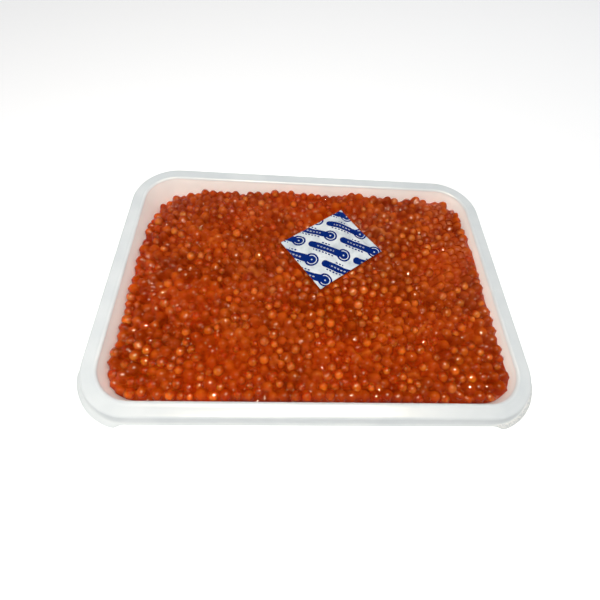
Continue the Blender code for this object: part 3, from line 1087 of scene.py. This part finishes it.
@dataclass
class SurfaceField:
    """What shows at the top of the roe, on a regular grid of spots over the tray."""

    tray: Tray
    pitch: float = 0.00075
    soak: float = 0.0005
    shore: float = 0.008

    def __post_init__(self) -> None:
        """Lay out the grid."""
        half_x = self.tray.length / 2 - self.tray.rim_width
        half_y = self.tray.depth / 2 - self.tray.rim_width
        self.x = np.linspace(-half_x, half_x, int(2 * half_x / self.pitch) + 1)
        self.y = np.linspace(-half_y, half_y, int(2 * half_y / self.pitch) + 1)
        self.spots = np.stack(np.meshgrid(self.x, self.y, indexing="ij"), axis=-1)

    def cells(self, middles: np.ndarray, radii: np.ndarray) -> tuple[np.ndarray, ...]:
        """Find the grid's spots round each egg.

        Args:
            middles: the eggs' middles.
            radii: their radii.

        Returns:
            The spots' numbers along x and y, and their distance from the egg's middle.
        """
        step_x, step_y = self.x[1] - self.x[0], self.y[1] - self.y[0]
        reach = int(radii.max() / self.pitch) + 2
        offset = np.arange(-reach, reach + 1)
        at_x = np.rint((middles[:, 0] - self.x[0]) / step_x).astype(int)
        at_y = np.rint((middles[:, 1] - self.y[0]) / step_y).astype(int)
        number_x = np.clip(at_x[:, None, None] + offset[None, :, None], 0, len(self.x) - 1)
        number_y = np.clip(at_y[:, None, None] + offset[None, None, :], 0, len(self.y) - 1)
        number_x, number_y = np.broadcast_arrays(number_x, number_y)
        away = np.hypot(self.x[number_x] - middles[:, 0, None, None],
                        self.y[number_y] - middles[:, 1, None, None])
        return number_x, number_y, away

    def blur(self, values: np.ndarray, spread: float) -> np.ndarray:
        """Blur by a bell curve whose spread is given, as a product of spectra, mirrored at the edges.

        Args:
            values: the field on the grid.
            spread: the bell's spread in metres.

        Returns:
            The blurred field.
        """
        pad = int(4 * spread / self.pitch)
        wide = np.pad(values, pad, mode="reflect")
        by_x = np.fft.fftfreq(wide.shape[0]) * 2 * np.pi * spread / self.pitch
        by_y = np.fft.fftfreq(wide.shape[1]) * 2 * np.pi * spread / self.pitch
        bell = np.exp(-(by_x[:, None] ** 2 + by_y[None] ** 2) / 2)
        return np.fft.ifft2(np.fft.fft2(wide) * bell).real[pad:-pad, pad:-pad]

    def film(self, base: np.ndarray, middles: np.ndarray, radii: np.ndarray, lift: np.ndarray) -> np.ndarray:
        """Height of the wet film: the eggs' caps over the base, blurred, so that it fills the gaps.

        Args:
            base: the height where no egg is.
            middles: the eggs' middles.
            radii: their radii.
            lift: how far it stands over each cap.

        Returns:
            The heights on the grid.
        """
        caps = base.copy()
        number_x, number_y, away = self.cells(middles, radii)
        cap = middles[:, 2, None, None] + np.sqrt(np.maximum(radii[:, None, None] ** 2 - away ** 2, 0))
        cap = np.where(away < radii[:, None, None], cap + lift[:, None, None], 0)
        np.maximum.at(caps, (number_x, number_y), cap)
        level = self.tray.height - self.shore
        inside = self.tray.inside_wall(self.spots.reshape(-1, 2), level) > 0
        inside = inside.reshape(base.shape).astype(float)
        share = np.maximum(self.blur(inside, self.soak), 1e-3)
        return self.blur(caps * inside, self.soak) / share

    def glow(self, middles: np.ndarray, radii: np.ndarray, tones: np.ndarray) -> np.ndarray:
        """How light the film is over an egg: by its tone squared, and less by the way out squared.

        Args:
            middles: the eggs' middles.
            radii: their radii.
            tones: their tones.

        Returns:
            The light on the grid.
        """
        light = np.zeros((len(self.x), len(self.y)))
        number_x, number_y, away = self.cells(middles, radii)
        dome = np.clip(1 - (away / radii[:, None, None]) ** 2, 0, 1)
        value = (0.15 + 0.85 * tones[:, None, None] ** 2) * dome
        np.maximum.at(light, (number_x, number_y), value)
        return light

    def streaks(self, lines: tuple) -> np.ndarray:
        """Share of torn skin that lies on the roe: a bell across each line that fades to its ends.

        Args:
            lines: for each, its middle, length and width in millimetres, and its turn in degrees.

        Returns:
            The share on the grid.
        """
        share = np.zeros((len(self.x), len(self.y)))
        for x, y, length, width, turn in lines:
            angle = math.radians(turn)
            away = self.spots * 1000 - (x, y)
            run = (away[..., 0] * math.cos(angle) + away[..., 1] * math.sin(angle)) / (length / 2)
            bend = 1.6 * np.sin(run * 2.2 + x) * (width / 2)
            side = (away[..., 1] * math.cos(angle) - away[..., 0] * math.sin(angle) - bend) / (width / 2)
            share = np.maximum(share, np.exp(-side ** 2 - run ** 4))
        return share

    def sample(self, values: np.ndarray, spots: np.ndarray) -> np.ndarray:
        """Read a field at any spots, straight between its four neighbours.

        Args:
            values: the field on the grid.
            spots: points, one a row.

        Returns:
            Its values there.
        """
        at_x = np.clip((spots[:, 0] - self.x[0]) / (self.x[1] - self.x[0]), 0, len(self.x) - 1.001)
        at_y = np.clip((spots[:, 1] - self.y[0]) / (self.y[1] - self.y[0]), 0, len(self.y) - 1.001)
        low_x, low_y = at_x.astype(int), at_y.astype(int)
        part_x, part_y = at_x - low_x, at_y - low_y
        near = values[low_x, low_y] * (1 - part_y) + values[low_x, low_y + 1] * part_y
        far = values[low_x + 1, low_y] * (1 - part_y) + values[low_x + 1, low_y + 1] * part_y
        return near * (1 - part_x) + far * part_x


@dataclass(frozen=True)
class BrineFinish:
    """The red wet mass that holds the eggs together."""

    low: str = "822200"
    high: str = "a63a04"
    red: str = "b43402"
    glow: str = "c45208"
    skin: str = "c25a12"
    red_share: float = 0.5
    glow_share: float = 0.85
    skin_share: float = 0.8
    roughness: float = 0.07
    mirror: float = 0.25
    ripple_depth: float = 0.0008
    ripple_share: float = 0.4

    def material(self) -> bpy.types.Material:
        """Make the material, which is lighter over the eggs that lie just under it.

        Returns:
            The material.
        """
        bench = ShaderBench("brine_mass")
        place = bench.place()
        patch = bench.noise(place, 42.0, 3.0).between(0.35, 0.65)
        over_egg = bench.share("over_egg")
        streak = bench.share("streak")
        zone = bench.noise(place, 26.0, 2.0).between(0.45, 0.68)
        brine = bench.mix(patch, tint(self.low), tint(self.high))
        mass = bench.mix(zone * self.red_share, brine, tint(self.red))
        lighter = bench.mix(over_egg * self.glow_share, mass, tint(self.glow))
        bench.set(
            Base_Color=bench.mix(streak * self.skin_share, lighter, tint(self.skin)),
            Roughness=self.roughness,
            IOR=1.34,
            Specular_IOR_Level=self.mirror,
            Subsurface_Weight=0.35,
            Subsurface_Radius=(1.0, 0.25, 0.1),
            Subsurface_Scale=0.003,
        )
        bench.relief(bench.noise(place, 420.0, 3.0), self.ripple_depth, self.ripple_share)
        return bench.material


@dataclass
class RoeMass:
    """The mass of brine and eggs under the loose eggs, which fills the tray out to its walls."""

    heap: Heap
    layers: EggLayers
    sink: float = 0.0012
    sachet_gap: float = 0.0002
    sachet_slope: tuple[float, float] = (0.0004, 0.0035)
    below: float = 0.001
    streak_rise: float = 0.0005
    streaks: tuple = (
        (-62, 27, 10, 2.2, 20), (-36, 4, 12, 2.0, -8), (-12, 1, 15, 1.8, 12), (-25, -13, 9, 1.6, 30),
        (14, 7, 13, 2.0, 15), (28, 3, 12, 1.8, -20), (-48, -30, 16, 1.8, 8), (-20, -50, 18, 1.8, -6),
        (6, -56, 14, 1.8, 10), (30, -44, 17, 1.8, 14), (62, -30, 14, 2.0, 25), (84, 6, 10, 2.0, 60),
        (48, 40, 12, 1.8, -30), (-84, -10, 10, 1.8, 70), (52, -58, 13, 1.8, 5),
    )
    finish: BrineFinish = BrineFinish()

    def cavity(self) -> bpy.types.Object:
        """A body that fills the tray's inside, less the gap round the roe.

        Returns:
            The body's object.
        """
        tray, gap = self.heap.tray, self.heap.fit_gap
        rings = tray.skin()[:tray.fillet_steps]
        top_inset = tray.inner_inset(tray.height)
        profile = np.vstack((rings[:, :2] + (gap, gap), (top_inset + gap, tray.height)))
        distance = tray.corner_radius - profile[:, 0]
        points, faces = tray.carry(distance[:, None], profile[:, 1])
        mesh = bpy.data.meshes.new("cavity")
        mesh.from_pydata(points.tolist(), [], faces)
        body = bpy.data.objects.new("cavity", mesh)
        bpy.context.scene.collection.objects.link(body)
        return body

    def build(self, eggs: dict[EggKind, tuple[np.ndarray, ...]]) -> bpy.types.Object:
        """Make the body.

        A regular grid carries the film's heights over a flat underside, and the block between
        the two is cut to the tray's inside.

        Args:
            eggs: what the layer's place found.

        Returns:
            The piece.
        """
        tray, sachet = self.heap.tray, self.heap.sachet
        field = SurfaceField(tray)
        middles, radii, tones, shown = (np.concatenate(part) for part in zip(*eggs.values()))
        spots = field.spots.reshape(-1, 2)
        base = self.heap.height(spots).reshape(field.spots.shape[:2]) - self.sink
        film = field.film(base, middles, radii, self.layers.lost_to_blur - shown)
        streak = field.streaks(self.streaks)
        film = film + streak * self.streak_rise
        under = sachet.underside - self.sachet_gap
        share = smooth_share(sachet.outside(spots), *self.sachet_slope).reshape(film.shape)
        film = np.where(film > under, under + (film - under) * share, film)
        light = field.glow(middles, radii, tones)
        rows, columns = film.shape
        top = np.concatenate((field.spots, film[..., None]), axis=-1).reshape(-1, 3)
        low = np.array(((0, 0), (0, columns - 1), (rows - 1, columns - 1), (rows - 1, 0)))
        bottom = np.concatenate((field.spots[low[:, 0], low[:, 1]], np.full((4, 1), -self.below)), axis=1)
        faces = [face[::-1] for face in grid_faces(rows, columns)]
        numbers = np.arange(rows * columns).reshape(rows, columns)
        first = rows * columns
        sides = ((numbers[0, :], 0, 1), (numbers[:, -1], 1, 2),
                 (numbers[-1, ::-1], 2, 3), (numbers[::-1, 0], 3, 0))
        faces += [[*edge.tolist(), first + end, first + start] for edge, start, end in sides]
        faces.append([first, first + 1, first + 2, first + 3])
        material = self.finish.material()
        piece = add_mesh("roe_mass", np.vstack((top, bottom)), faces, material)
        cavity = self.cavity()
        cut = piece.modifiers.new("cut", "BOOLEAN")
        cut.operation, cut.solver, cut.object = "INTERSECT", "MANIFOLD", cavity
        result = bpy.data.meshes.new_from_object(piece.evaluated_get(bpy.context.evaluated_depsgraph_get()))
        piece.modifiers.remove(cut)
        bpy.data.objects.remove(cavity)
        piece.data = result
        result.materials.clear()
        result.materials.append(material)
        result.shade_smooth()
        result.set_sharp_from_angle(angle=math.radians(60))
        corners = np.empty(len(result.vertices) * 3, np.float32)
        result.vertices.foreach_get("co", corners)
        for name, values in (("over_egg", light), ("streak", streak)):
            write_attribute(piece, name, field.sample(values, corners.reshape(-1, 3)))
        LOG.info("roe mass: %d faces", len(result.polygons))
        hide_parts("roe")
        return piece


@dataclass(frozen=True)
class View:
    """The camera, fitted to the outlines of the rim."""

    focal_pixels: float = 330.0
    down: float = 1.07886
    turn: float = 0.1338
    roll: float = 0.14632
    distance: float = 0.1848
    aim: tuple[float, float] = (-0.00747, -0.01758)

    def build(self, tray: Tray) -> None:
        """Put the camera where it looks down on the tray, turned and rolled as fitted.

        Args:
            tray: gives the height of the rim that it aims at.
        """
        ahead = np.array((math.sin(self.turn) * math.cos(self.down),
                          math.cos(self.turn) * math.cos(self.down), -math.sin(self.down)))
        right = np.array((math.cos(self.turn), -math.sin(self.turn), 0.0))
        up = np.cross(right, ahead)
        rolled_right = math.cos(self.roll) * right + math.sin(self.roll) * up
        rolled_up = -math.sin(self.roll) * right + math.cos(self.roll) * up
        spot = np.array((*self.aim, tray.height)) - self.distance * ahead
        data = bpy.data.cameras.new("view")
        data.sensor_width = SENSOR_WIDTH
        data.lens = self.focal_pixels * SENSOR_WIDTH / PICTURE_SIDE
        data.clip_start = 0.01
        camera = bpy.data.objects.new("view", data)
        turned = Matrix(np.stack((rolled_right, rolled_up, -ahead), axis=1).tolist()).to_4x4()
        camera.matrix_world = Matrix.Translation(spot.tolist()) @ turned
        bpy.context.scene.collection.objects.link(camera)
        bpy.context.scene.camera = camera


@dataclass(frozen=True)
class Lamp:
    """One area light."""

    name: str
    spot: tuple[float, float, float]
    size: float
    power: float
    colour: tuple[float, float, float] = (1.0, 1.0, 1.0)
    lights_bodies: bool = True
    mirrored: bool = True

    def build(self) -> None:
        """Hang the light, facing the tray."""
        data = bpy.data.lights.new(self.name, "AREA")
        data.shape = "DISK"
        data.size = self.size
        data.energy = self.power
        data.color = self.colour
        lamp = bpy.data.objects.new(self.name, data)
        lamp.location = self.spot
        lamp.visible_diffuse = self.lights_bodies
        lamp.visible_glossy = self.mirrored
        lamp.rotation_euler = (Vector((0, 0, 0.03)) - Vector(self.spot)).to_track_quat("-Z", "Y").to_euler()
        bpy.context.scene.collection.objects.link(lamp)


@dataclass(frozen=True)
class Studio:
    """The pale floor, the soft lights and the even surroundings."""

    floor_side: float = 6.0
    floor: str = "f6f6f6"
    floor_glow: float = 0.25
    surround: float = 0.45
    lamps: tuple[Lamp, ...] = (
        Lamp("key", (-0.18, -0.21, 0.52), 0.12, 1.75, (1.0, 0.97, 0.93), mirrored=False),
        Lamp("fill", (0.6, 0.2, 0.9), 0.9, 2.7, (0.97, 0.98, 1.0), mirrored=False),
        Lamp("spark_left", (-0.08, -0.13, 0.42), 0.055, 6.5, (1.0, 0.84, 0.62), lights_bodies=False),
        Lamp("spark_right", (0.10, -0.05, 0.45), 0.055, 5.0, (1.0, 0.84, 0.62), lights_bodies=False),
    )

    def build(self) -> None:
        """Lay the floor, hang the lamps and set the surroundings."""
        bench = ShaderBench("pale_floor")
        bench.set(Base_Color=tint(self.floor), Roughness=0.8, Emission_Color=tint("ffffff"),
                  Emission_Strength=self.floor_glow)
        half = self.floor_side / 2
        mesh = bpy.data.meshes.new("floor")
        corners = [(-half, -half, 0), (half, -half, 0), (half, half, 0), (-half, half, 0)]
        mesh.from_pydata(corners, [], [(0, 1, 2, 3)])
        mesh.materials.append(bench.material)
        floor = bpy.data.objects.new("floor", mesh)
        bpy.context.scene.collection.objects.link(floor)
        for lamp in self.lamps:
            lamp.build()
        world = bpy.data.worlds.new("surround")
        world.use_nodes = True
        background = world.node_tree.nodes["Background"]
        background.inputs["Color"].default_value = (0.97, 0.985, 1.0, 1.0)
        background.inputs["Strength"].default_value = self.surround
        bpy.context.scene.world = world
        world.cycles_visibility.glossy = False
        bpy.context.scene.view_settings.view_transform = "Standard"


def main() -> None:
    """Build every piece, then the studio round them."""
    logging.basicConfig(level=logging.INFO, format="%(message)s")
    tray = Tray(height=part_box("tray")[1].z)
    sachet = Sachet()
    heap = Heap(tray, sachet)
    View().build(tray)
    tray.build()
    layers = EggLayers(heap)
    eggs = layers.place()
    RoeMass(heap, layers).build(eggs)
    layers.build(eggs)
    sachet.build()
    Studio().build()


if __name__ == "__main__":
    main()
